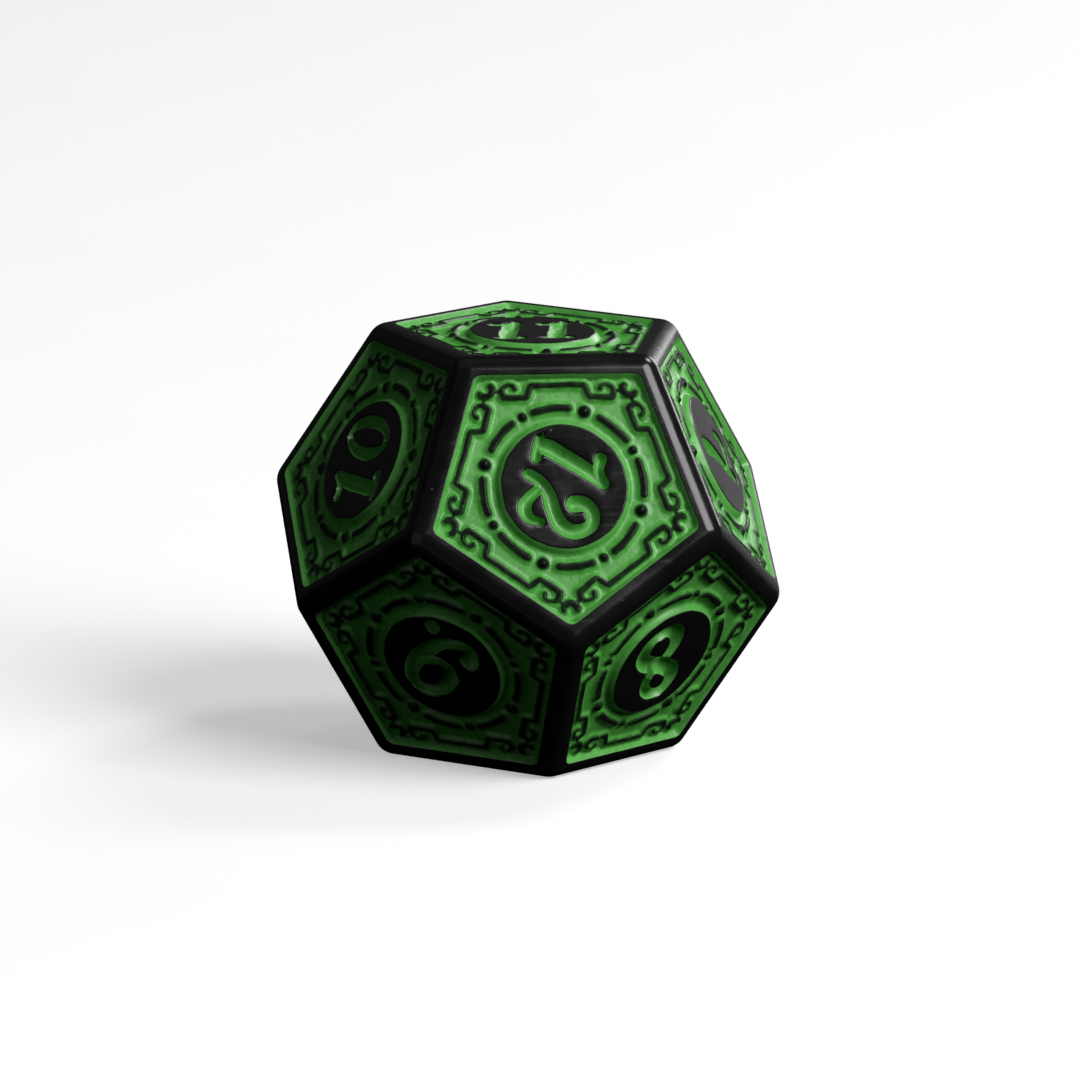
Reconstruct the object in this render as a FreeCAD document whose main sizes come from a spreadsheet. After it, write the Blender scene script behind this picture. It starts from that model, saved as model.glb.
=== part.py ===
"""A twelve-sided die: one moulded black body with a carved, paint-filled panel on every face.

The row frame is millimetres, +Z up. The die rests on its face 2, whose plane is Z = 0, with face 11
on top and face 12 tilted towards -Y. Opposite faces add up to thirteen.

Each face has its own flat frame: origin at the face's centre, X to the right of the numeral, Y up
the numeral and Z outwards. Everything on a face is drawn once in that frame and repeated.
"""
import FreeCAD, Part
import math
import os

import Sketcher

Vector = FreeCAD.Vector
doc = FreeCAD.newDocument("twelve_sided_die")

# ---------------------------------------------------------------- driving dimensions

DIMENSIONS = (
    ("across_flats", 19.0, "distance between two opposite faces"),
    ("edge_rounding", 1.0, "radius of the tumbled edges and corners"),
    ("margin_width", 0.77, "plain rim of a face, from the sharp edge to the panel"),
    ("panel_depth", 0.42, "floor of the panel, below the face"),
    ("ridge_drop", 0.16, "tops of the thin ridges, below the face"),
    ("panel_paint", 0.10, "thickness of the paint on the panel's floor"),
    ("disc_radius", 2.82, "plain disc that carries the numeral"),
    ("ring_radius", 3.60, "circle of beads and dashes round the disc"),
    ("bead_radius", 0.28, "beads on the numeral's axes"),
    ("stud_radius", 0.20, "small studs between the beads"),
    ("dash_width", 0.30, "curved dashes between beads and studs"),
    ("dash_start", 11.5, "angle from a bead to the near end of a dash, in degrees"),
    ("dash_end", 36.0, "angle from a bead to the far end of a dash, in degrees"),
    ("ridge_width", 0.22, "line that makes the meander along each side"),
    ("meander_outer", 0.47, "outer run of the meander, from the panel's side"),
    ("meander_inner", 1.02, "inner run of the meander, from the panel's side"),
    ("meander_middle", 1.21, "half length of the outer run"),
    ("meander_reach", 2.40, "end of the inner run, from the side's middle"),
    ("crescent_radius", 5.27, "bar of the corner crescent, from the face's centre"),
    ("numeral_depth", 0.40, "floor of the engraved numeral, below the face"),
    ("numeral_paint", 0.12, "thickness of the paint in the numeral"),
    ("single_scale", 1.14, "size of a lone digit against one of a pair"),
    ("cutter_excess", 0.5, "how far the cutters stand out of a face"),
)

sheet = doc.addObject("Spreadsheet::Sheet", "dimensions")
for row, (alias, value, note) in enumerate(DIMENSIONS, start=1):
    sheet.set(f"A{row}", alias)
    sheet.set(f"B{row}", str(value))
    sheet.set(f"C{row}", note)
    sheet.setAlias(f"B{row}", alias)
doc.recompute()


def size(alias):
    """Value of one driving dimension."""
    return float(sheet.get(alias))


def bind(target, path, expression):
    """Bind a property to the sheet, with the alias names written plainly in the expression."""
    for alias, _, _ in DIMENSIONS:
        expression = expression.replace(f"[{alias}]", f"dimensions.{alias}")
    target.setExpression(path, expression)


# ---------------------------------------------------------------- the twelve faces

SIDES = 5
BEADS = 4
TURN = 360.0 / SIDES
TILT = math.degrees(math.atan(2.0))           # angle between the normals of two neighbouring faces
UPPER_RING = (12, 7, 4, 5, 10)                # faces round face 11, by azimuth from -Y
OPPOSITE_SUM = 13
NUMBERS = range(1, OPPOSITE_SUM)

# The numeral's foot points at this face, and its head at the corner farthest from it.
FOOT_FACE = {12: 10, 1: 3}
FOOT_FACE.update({number: 12 for number in range(7, 12)})
FOOT_FACE.update({number: 1 for number in range(2, 7)})


def face_normals():
    """Outward unit normal of each numbered face."""
    normals = {11: Vector(0, 0, 1)}
    for step, number in enumerate(UPPER_RING):
        azimuth = math.radians(-90.0 + TURN * step)
        tilt = math.radians(TILT)
        normals[number] = Vector(
            math.sin(tilt) * math.cos(azimuth), math.sin(tilt) * math.sin(azimuth), math.cos(tilt)
        )
    for number in list(normals):
        normals[OPPOSITE_SUM - number] = normals[number] * -1.0
    return normals


NORMALS = face_normals()
INRADIUS = size("across_flats") / 2.0
CENTRE = Vector(0, 0, INRADIUS)
SIDE_APOTHEM = INRADIUS * math.tan(math.radians(TILT / 2.0))
PANEL_APOTHEM = SIDE_APOTHEM - size("margin_width")


def face_frame(number):
    """Placement that carries the flat frame of a face to its place on the die."""
    normal = NORMALS[number]
    foot = NORMALS[FOOT_FACE[number]]
    up = (normal * normal.dot(foot) - foot).normalize()
    right = up.cross(normal)
    turn = FreeCAD.Rotation(right, up, normal, "ZXY")
    return FreeCAD.Placement(CENTRE + normal * INRADIUS, turn)


# ---------------------------------------------------------------- flat outlines

def on_circle(radius, degrees):
    """Point at an angle counted from the numeral's up direction, clockwise."""
    angle = math.radians(90.0 - degrees)
    return radius * math.cos(angle), radius * math.sin(angle)


def flat(x, y):
    return Vector(x, y, 0)


def disc(x, y, radius):
    """Round face in the flat frame."""
    return Part.Face(Part.Wire(Part.Circle(flat(x, y), Vector(0, 0, 1), radius).toShape()))


def capsule(start, end):
    """Face swept by a round cutter that goes from one ball to the next, each (x, y, radius)."""
    a = flat(start[0], start[1])
    b = flat(end[0], end[1])
    along = b - a
    heading = math.atan2(along.y, along.x)
    lean = math.acos((start[2] - end[2]) / along.Length)

    def rim(centre, radius, angle):
        return centre + flat(radius * math.cos(angle), radius * math.sin(angle))

    a_left = rim(a, start[2], heading + lean)
    a_right = rim(a, start[2], heading - lean)
    b_left = rim(b, end[2], heading + lean)
    b_right = rim(b, end[2], heading - lean)
    edges = (
        Part.LineSegment(a_left, b_left).toShape(),
        Part.Arc(b_left, rim(b, end[2], heading), b_right).toShape(),
        Part.LineSegment(b_right, a_right).toShape(),
        Part.Arc(a_right, rim(a, start[2], heading + math.pi), a_left).toShape(),
    )
    return Part.Face(Part.Wire(edges))


def stroke(balls):
    """Faces swept along a chain of balls."""
    return [capsule(a, b) for a, b in zip(balls, balls[1:])]


def merged(faces):
    """One flat shape from overlapping faces."""
    if len(faces) == 1:
        return faces[0]
    return faces[0].fuse(faces[1:]).removeSplitter()


def smooth(balls, steps=2):
    """Catmull-Rom chain through the balls, with extra balls between them."""
    chain = [balls[0]] + list(balls) + [balls[-1]]
    result = []
    for p0, p1, p2, p3 in zip(chain, chain[1:], chain[2:], chain[3:]):
        for step in range(steps):
            u = step / steps
            ball = []
            for q0, q1, q2, q3 in zip(p0, p1, p2, p3):
                bend = (q2 - q0) * u + (2 * q0 - 5 * q1 + 4 * q2 - q3) * u ** 2
                bend += (3 * q1 - q0 - 3 * q2 + q3) * u ** 3
                ball.append(q1 + 0.5 * bend)
            result.append(tuple(ball))
    result.append(tuple(balls[-1]))
    return result


# ---------------------------------------------------------------- ornament of the panel

MEANDER_STEP = 0.19                           # along the side, from the outer run to the inner one

# Curl at each end of the meander: how far past the end of the inner run, how far out from that run,
# and its width against the line's.
MEANDER_HOOK = (
    (0.0, 0.0, 1.25), (0.12, 0.32, 1.0), (-0.03, 0.52, 0.7), (-0.28, 0.60, 0.6), (-0.50, 0.47, 0.9),
)

# Half of the crescent: balls (across the corner, out from the bar's radius, radius).
CRESCENT_HALF = ((0.0, -0.12, 0.14), (0.24, 0.02, 0.12), (0.31, 0.20, 0.11))


def side_point(side, along, inset, radius):
    """Ball on one side of the panel: along from the side's middle, inset from the side."""
    outward = math.radians(90.0 - TURN / 2.0 - TURN * side)
    reach = PANEL_APOTHEM - inset
    x = reach * math.cos(outward) + along * math.sin(outward)
    y = reach * math.sin(outward) - along * math.cos(outward)
    return x, y, radius


def meander(side):
    """Line along one side: an outer run, a step in at each end, an inner run and a curled hook."""
    thin = size("ridge_width") / 2.0
    outer = size("meander_outer")
    inner = size("meander_inner")
    middle = size("meander_middle")
    reach = size("meander_reach")
    half = [(middle, outer, thin), (middle + MEANDER_STEP, inner, thin)]
    half += [(reach + past, inner - out, thin * share) for past, out, share in MEANDER_HOOK]
    left = [side_point(side, -along, inset, radius) for along, inset, radius in reversed(half)]
    right = [side_point(side, along, inset, radius) for along, inset, radius in half]
    return merged(stroke(left + right))


def crescent(corner):
    """Small cup at one corner of the panel, open towards the corner."""
    profile = [(-across, out, ball) for across, out, ball in reversed(CRESCENT_HALF)]
    profile += CRESCENT_HALF[1:]
    turn = math.radians(-TURN * corner)
    balls = []
    for x, out, ball in profile:
        y = size("crescent_radius") + out
        balls.append((x * math.cos(turn) - y * math.sin(turn), x * math.sin(turn) + y * math.cos(turn), ball))
    return merged(stroke(balls))


def dash(start, end):
    """Curved dash on the ring, between two angles from the numeral's up direction."""
    radius = size("ring_radius")
    half = size("dash_width") / 2.0
    steps = 3
    angles = [start + (end - start) * step / steps for step in range(steps + 1)]
    return merged(stroke([on_circle(radius, angle) + (half,) for angle in angles]))


def ornament():
    """All ridges that stand up from the panel's floor, as separate flat shapes."""
    shapes = [meander(side) for side in range(SIDES)]
    shapes += [crescent(corner) for corner in range(SIDES)]
    ring = size("ring_radius")
    for quarter in range(BEADS):
        bead = 360.0 / BEADS * quarter
        stud = bead + 180.0 / BEADS
        shapes.append(disc(*on_circle(ring, bead), size("bead_radius")))
        shapes.append(disc(*on_circle(ring, stud), size("stud_radius")))
        shapes.append(dash(bead + size("dash_start"), bead + size("dash_end")))
        shapes.append(dash(bead - size("dash_end"), bead - size("dash_start")))
    return shapes


# ---------------------------------------------------------------- numerals

# Each digit is a few strokes of a round cutter: balls (x, y, radius) in millimetres, in a cell
# whose middle is (0, 0), at the size of a digit in a pair.
ZERO_HALF_WIDTH = 0.78
ZERO_HALF_HEIGHT = 1.52
ZERO_SLANT = 0.26
ZERO_TIP_RADIUS = 0.20
ZERO_SIDE_RADIUS = 0.32
NINE = (
    ((-0.66, 0.30, 0.30), (-0.60, 0.90, 0.32), (-0.30, 1.45, 0.28), (0.20, 1.68, 0.27),
     (0.66, 1.50, 0.30), (0.90, 1.00, 0.34), (0.92, 0.40, 0.36), (0.80, -0.25, 0.36),
     (0.55, -0.90, 0.31), (0.12, -1.40, 0.24), (-0.36, -1.62, 0.22), (-0.76, -1.42, 0.28),
     (-0.84, -1.06, 0.42)),
    ((-0.66, 0.40, 0.28), (-0.40, -0.04, 0.23), (0.06, -0.14, 0.20), (0.50, 0.08, 0.20),
     (0.84, 0.50, 0.24)),
)


def slanted_oval(steps=12):
    """Closed chain of balls for the zero, thick at the sides and thin at top and bottom."""
    swell = ZERO_SIDE_RADIUS - ZERO_TIP_RADIUS
    balls = []
    for step in range(steps + 1):
        angle = 2.0 * math.pi * step / steps
        x = ZERO_HALF_WIDTH * math.cos(angle) + ZERO_SLANT * math.sin(angle)
        y = ZERO_HALF_HEIGHT * math.sin(angle)
        balls.append((x, y, ZERO_TIP_RADIUS + swell * math.cos(angle) ** 2))
    return tuple(balls)


DIGITS = {
    "0": (slanted_oval(),),
    "1": (
        ((0.62, 1.64, 0.26), (0.27, 0.83, 0.36), (0.04, -0.07, 0.39), (-0.20, -1.00, 0.40),
         (-0.27, -1.45, 0.36)),
        ((-0.43, 1.26, 0.28), (0.08, 1.28, 0.24), (0.50, 1.52, 0.25)),
        ((-0.98, -1.66, 0.15), (-0.45, -1.60, 0.21), (0.34, -1.55, 0.26)),
    ),
    "2": (
        ((-0.33, 0.67, 0.41), (-0.43, 1.10, 0.35), (-0.18, 1.48, 0.32), (0.28, 1.60, 0.31),
         (0.68, 1.37, 0.33), (0.93, 0.83, 0.36), (0.75, 0.23, 0.37), (0.15, -0.23, 0.33),
         (-0.45, -0.60, 0.31), (-0.85, -1.10, 0.28), (-1.03, -1.66, 0.25)),
        ((-0.66, -0.92, 0.24), (-0.05, -1.33, 0.27), (0.38, -1.46, 0.33), (0.78, -1.26, 0.28),
         (0.93, -0.90, 0.21), (0.90, -0.57, 0.18)),
    ),
    "3": (
        ((-0.62, 1.02, 0.36), (-0.54, 1.42, 0.26), (-0.10, 1.66, 0.26), (0.46, 1.56, 0.29),
         (0.72, 1.08, 0.32), (0.46, 0.52, 0.27), (-0.04, 0.24, 0.20)),
        ((-0.04, 0.24, 0.20), (0.46, 0.06, 0.29), (0.72, -0.48, 0.37), (0.52, -1.16, 0.34),
         (0.00, -1.58, 0.27), (-0.56, -1.54, 0.25), (-0.84, -1.12, 0.36)),
    ),
    "4": (
        ((0.52, 1.64, 0.24), (-0.30, 0.62, 0.20), (-1.06, -0.56, 0.22), (-0.10, -0.62, 0.22),
         (1.06, -0.58, 0.24)),
        ((0.58, 1.62, 0.26), (0.32, 0.40, 0.34), (0.06, -0.66, 0.36), (-0.06, -1.40, 0.34)),
        ((-0.60, -1.64, 0.17), (-0.06, -1.60, 0.22), (0.46, -1.60, 0.22)),
    ),
    "5": (
        ((-0.30, 1.40, 0.26), (0.34, 1.46, 0.27), (0.98, 1.68, 0.19)),
        ((-0.30, 1.44, 0.24), (-0.46, 0.90, 0.20), (-0.60, 0.34, 0.20)),
        ((-0.60, 0.34, 0.18), (-0.12, 0.52, 0.24), (0.42, 0.38, 0.31), (0.72, -0.18, 0.38),
         (0.56, -1.00, 0.35), (0.02, -1.54, 0.27), (-0.56, -1.54, 0.24), (-0.86, -1.12, 0.35)),
    ),
    "6": tuple(tuple((-x, -y, r) for x, y, r in chain) for chain in NINE),
    "7": (
        ((-0.98, 0.86, 0.18), (-0.86, 1.32, 0.24), (-0.46, 1.56, 0.28), (0.06, 1.38, 0.27),
         (0.52, 1.26, 0.22), (0.92, 1.64, 0.19)),
        ((0.88, 1.50, 0.20), (0.52, 0.76, 0.26), (0.10, 0.10, 0.32), (-0.20, -0.62, 0.38),
         (-0.30, -1.42, 0.40)),
    ),
    "8": (
        ((0.86, 0.46, 0.21), (1.00, 0.98, 0.22), (0.84, 1.44, 0.24), (0.34, 1.68, 0.26),
         (-0.20, 1.48, 0.29), (-0.38, 1.00, 0.35), (-0.12, 0.44, 0.37), (0.32, -0.12, 0.37),
         (0.72, -0.62, 0.36), (0.74, -1.18, 0.33), (0.34, -1.62, 0.27), (-0.24, -1.70, 0.25),
         (-0.80, -1.46, 0.29), (-1.00, -0.96, 0.33), (-0.76, -0.46, 0.27), (-0.24, -0.12, 0.24),
         (0.32, 0.08, 0.22), (0.86, 0.46, 0.21)),
    ),
    "9": NINE,
}
PAIR_OFFSETS = {"10": (-1.20, 1.08), "11": (-1.12, 1.08), "12": (-1.25, 0.95)}
SINGLE_OFFSET = 0.06
MARKED = (6, 9)
POINT_MARK = ((1.42, -1.88, 0.38), (1.42, -1.99, 0.38))


def digit_shape(digit, offset, scale):
    """Flat shape of one digit."""
    faces = []
    for chain in DIGITS[digit]:
        balls = [(x * scale + offset, y * scale, r * scale) for x, y, r in smooth(chain)]
        faces += stroke(balls)
    return merged(faces)


def numeral(number):
    """Flat shapes of a face's number, and of the point that tells 6 from 9."""
    text = str(number)
    if text in PAIR_OFFSETS:
        return [digit_shape(digit, offset, 1.0) for digit, offset in zip(text, PAIR_OFFSETS[text])]
    shapes = [digit_shape(text, SINGLE_OFFSET, size("single_scale"))]
    if number in MARKED:
        shapes.append(capsule(*POINT_MARK))
    return shapes


# ---------------------------------------------------------------- sketches and bodies

def origin_plane(body, role):
    for feature in body.Origin.OriginFeatures:
        if feature.Role == role:
            return feature
    raise ValueError(role)


def new_sketch(body, name, offset):
    """Empty sketch on the body's XY plane, moved by an offset."""
    sketch = body.newObject("Sketcher::SketchObject", name)
    sketch.AttachmentSupport = [(origin_plane(body, "XY_Plane"), "")]
    sketch.MapMode = "FlatFace"
    sketch.AttachmentOffset = offset
    return sketch


def trace(sketch, shapes):
    """Add the outlines of flat shapes to a sketch."""
    geometry = []
    for shape in shapes:
        for edge in shape.Edges:
            first = edge.valueAt(edge.FirstParameter)
            last = edge.valueAt(edge.LastParameter)
            middle = edge.valueAt((edge.FirstParameter + edge.LastParameter) / 2.0)
            if edge.isClosed():
                geometry.append(Part.Circle(edge.Curve.Center, Vector(0, 0, 1), edge.Curve.Radius))
            elif isinstance(edge.Curve, Part.Circle):
                geometry.append(Part.Arc(first, middle, last))
            else:
                geometry.append(Part.LineSegment(first, last))
    sketch.addGeometry(geometry, False)


def panel_outline(sketch):
    """Pentagon of the panel with the disc left standing, its radius bound to the sheet."""
    corner_radius = PANEL_APOTHEM / math.cos(math.radians(TURN / 2.0))
    corners = [flat(*on_circle(corner_radius, TURN * corner)) for corner in range(SIDES)]
    for corner in range(SIDES):
        sketch.addGeometry(Part.LineSegment(corners[corner], corners[(corner + 1) % SIDES]), False)
    circle = sketch.addGeometry(Part.Circle(flat(0, 0), Vector(0, 0, 1), size("disc_radius")), False)
    sketch.addConstraint(Sketcher.Constraint("Coincident", circle, 3, -1, 1))
    radius = sketch.addConstraint(Sketcher.Constraint("Radius", circle, size("disc_radius")))
    sketch.renameConstraint(radius, "disc_radius")
    bind(sketch, "Constraints.disc_radius", "[disc_radius]")


def pad_body(name, frame, depth, thickness):
    """Body in a frame of its own, with an empty sketch at a depth and a pad that stands on it."""
    body = doc.addObject("PartDesign::Body", name)
    body.Label = name
    body.AllowCompound = True
    body.Placement = frame
    sketch = new_sketch(body, name + "_sketch", FreeCAD.Placement())
    bind(sketch, "AttachmentOffset.Base.z", f"-[{depth}]")
    pad = body.newObject("PartDesign::Pad", name + "_pad")
    pad.Profile = sketch
    pad.Refine = False
    bind(pad, "Length", thickness)
    return body, sketch


# ---------------------------------------------------------------- blank: six slabs and their edges

def rounded_blank():
    """Regular dodecahedron, common to six crossed slabs, with every edge and corner rounded."""
    slabs = []
    for number in (11,) + UPPER_RING:
        slab = doc.addObject("Part::Box", f"slab_{number:02d}")
        for side in ("Length", "Width"):
            bind(slab, side, "2 * [across_flats]")
        bind(slab, "Height", "[across_flats]")
        turn = face_frame(number).Rotation
        reach = size("across_flats")
        corner = CENTRE - turn.multVec(Vector(reach, reach, INRADIUS))
        slab.Placement = FreeCAD.Placement(corner, turn)
        slabs.append(slab)
    common = doc.addObject("Part::MultiCommon", "dodecahedron")
    common.Shapes = slabs
    common.Refine = True
    doc.recompute()
    rounding = size("edge_rounding")
    blank = doc.addObject("Part::Fillet", "rounded_blank")
    blank.Base = common
    blank.Edges = [(index + 1, rounding, rounding) for index in range(len(common.Shape.Edges))]
    doc.recompute()
    return blank


def cut_away(base, cutters, name):
    """Cut a set of cutters that don't touch each other out of the base."""
    group = doc.addObject("Part::Compound", name + "_cutters")
    group.Links = cutters
    cut = doc.addObject("Part::Cut", name)
    cut.Label = name
    cut.Base = base
    cut.Tool = group
    cut.Refine = False
    return cut


def on_every_face(cutter):
    """The same cutter linked to the frame of each of the twelve faces."""
    links = []
    for number in NUMBERS:
        link = doc.addObject("App::Link", f"{cutter.Name}_{number:02d}")
        link.LinkedObject = cutter
        link.LinkTransform = False
        link.Placement = face_frame(number)
        links.append(link)
    return links


def build():
    ridges = ornament()
    here = FreeCAD.Placement()

    clearing, sketch = pad_body("clearing_cutter", here, "ridge_drop", "[ridge_drop] + [cutter_excess]")
    panel_outline(sketch)
    floor, sketch = pad_body("floor_cutter", here, "panel_depth", "[panel_depth] + [cutter_excess]")
    panel_outline(sketch)
    trace(sketch, ridges)
    engravers = []
    paints = []
    for number in NUMBERS:
        frame = face_frame(number)
        digits = numeral(number)
        engraver, sketch = pad_body(
            f"numeral_cutter_{number:02d}", frame, "numeral_depth", "[numeral_depth] + [cutter_excess]"
        )
        trace(sketch, digits)
        engravers.append(engraver)

        paint, sketch = pad_body(f"panel_paint_{number:02d}", frame, "panel_depth", "[panel_paint]")
        panel_outline(sketch)
        trace(sketch, ridges)
        paints.append(paint)

        paint, sketch = pad_body(f"numeral_paint_{number:02d}", frame, "numeral_depth", "[numeral_paint]")
        trace(sketch, digits)
        paints.append(paint)

    cleared = cut_away(rounded_blank(), on_every_face(clearing), "cleared_blank")
    floored = cut_away(cleared, on_every_face(floor), "carved_blank")
    body = cut_away(floored, engravers, "die_body")
    doc.recompute()
    return [body] + paints


def check(parts):
    """Stop if any object failed or any part is not a valid solid."""
    for item in doc.Objects:
        if any(word in item.State for word in ("Invalid", "Error")):
            raise RuntimeError(f"{item.Name} failed: {item.State}")
    for part in parts:
        shape = part.Shape
        if shape.isNull() or not shape.isValid() or not shape.Solids:
            raise RuntimeError(f"{part.Label} is not a valid solid")


PARTS = build()
check(PARTS)
os.makedirs("parts", exist_ok=True)
for part in PARTS:
    part.Shape.exportStep(f"parts/{part.Label}.step")
    print(part.Label, "solids", len(part.Shape.Solids), "volume", round(part.Shape.Volume, 3))
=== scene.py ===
"""Looks of a twelve-sided die: black moulded body with carved panels, and green paint in the carving.

Shapes are drawn once in the flat frame of a face, in millimetres: origin at the face's centre, X to
the right of the numeral, Y up the numeral, Z outwards. They are then carried to the twelve faces.
"""

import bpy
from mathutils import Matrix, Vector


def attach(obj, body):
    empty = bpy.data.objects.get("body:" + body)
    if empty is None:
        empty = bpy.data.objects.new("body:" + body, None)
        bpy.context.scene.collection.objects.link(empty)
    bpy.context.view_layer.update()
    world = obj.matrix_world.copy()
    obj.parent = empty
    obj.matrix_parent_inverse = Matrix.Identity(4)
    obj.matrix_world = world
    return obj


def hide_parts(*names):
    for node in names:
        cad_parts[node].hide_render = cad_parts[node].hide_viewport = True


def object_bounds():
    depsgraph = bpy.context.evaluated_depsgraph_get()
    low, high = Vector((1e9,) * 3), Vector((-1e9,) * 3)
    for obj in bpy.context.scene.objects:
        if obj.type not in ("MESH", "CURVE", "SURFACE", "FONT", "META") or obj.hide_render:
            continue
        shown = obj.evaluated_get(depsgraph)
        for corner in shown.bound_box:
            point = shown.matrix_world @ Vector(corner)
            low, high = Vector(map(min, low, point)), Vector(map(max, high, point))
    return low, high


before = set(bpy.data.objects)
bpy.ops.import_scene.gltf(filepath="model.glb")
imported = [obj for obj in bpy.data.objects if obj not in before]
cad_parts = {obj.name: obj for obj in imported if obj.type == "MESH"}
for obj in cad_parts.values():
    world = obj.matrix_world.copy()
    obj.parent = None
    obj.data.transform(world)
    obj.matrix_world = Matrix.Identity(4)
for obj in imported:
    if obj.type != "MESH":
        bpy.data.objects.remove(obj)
CAD_BOX = [list(corner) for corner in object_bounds()]

import math

import bpy
import numpy as np
from mathutils import Quaternion, Vector, noise
from mathutils.geometry import delaunay_2d_cdt

MM = 0.001

# ---------------------------------------------------------------- sizes, in millimetres

ACROSS_FLATS = (CAD_BOX[1][2] - CAD_BOX[0][2]) / MM
INRADIUS = ACROSS_FLATS / 2.0
EDGE_ROUNDING = 1.0
MARGIN_WIDTH = 0.77                           # from a face's ideal side to its panel
SIDES = 5
TURN = 2.0 * math.pi / SIDES
TILT = math.atan(2.0)                         # angle between the normals of two neighbouring faces
SIDE_APOTHEM = INRADIUS * math.tan(TILT / 2.0)
FLAT_APOTHEM = SIDE_APOTHEM * (INRADIUS - EDGE_ROUNDING) / INRADIUS
PANEL_APOTHEM = SIDE_APOTHEM - MARGIN_WIDTH
PANEL_CORNER = 0.4                            # radius of the panel's corners

PANEL_DEPTH = 0.42
NUMERAL_DEPTH = 0.40
DISC_RADIUS = 2.82
RING_RADIUS = 3.60                            # ring of dashes, four beads and four studs
RING_FOLD = 4
BEAD_RADIUS = 0.28
STUD_RADIUS = 0.20
DASH_WIDTH = 0.30
DASH_START = math.radians(11.5)
DASH_END = math.radians(36.0)
RIDGE_WIDTH = 0.22
MEANDER_OUTER = 0.47                          # insets of the meander from the panel's side
MEANDER_INNER = 1.02
MEANDER_MIDDLE = 1.21                         # places along the side, from its middle
MEANDER_REACH = 2.40
CRESCENT_RADIUS = 5.27                        # from the face's centre towards a corner
SEAM_RADIUS = 2.66                            # circle where the panel's mesh meets the disc's mesh
PANEL_REACH = 6.6                             # half width of the square that holds a face
DISC_REACH = 3.0                              # half width of the square that holds a disc

# ---------------------------------------------------------------- numerals

# Each digit is a few strokes of a round cutter: balls (x, y, radius), at the size of a digit in a pair.
NINE = (
    ((-0.66, 0.30, 0.30), (-0.60, 0.90, 0.32), (-0.30, 1.45, 0.28), (0.20, 1.68, 0.27),
     (0.66, 1.50, 0.30), (0.90, 1.00, 0.34), (0.92, 0.40, 0.36), (0.80, -0.25, 0.36),
     (0.55, -0.90, 0.31), (0.12, -1.40, 0.24), (-0.36, -1.62, 0.22), (-0.76, -1.42, 0.28),
     (-0.84, -1.06, 0.42)),
    ((-0.66, 0.40, 0.28), (-0.40, -0.04, 0.23), (0.06, -0.14, 0.20), (0.50, 0.08, 0.20),
     (0.84, 0.50, 0.24)),
)


def slanted_oval(steps=12):
    """Closed chain of balls for the zero, thick at the sides and thin at top and bottom."""
    balls = []
    for step in range(steps + 1):
        a = 2.0 * math.pi * step / steps
        x = 0.78 * math.cos(a) + 0.26 * math.sin(a)
        balls.append((x, 1.52 * math.sin(a), 0.20 + 0.12 * math.cos(a) ** 2))
    return tuple(balls)


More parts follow.
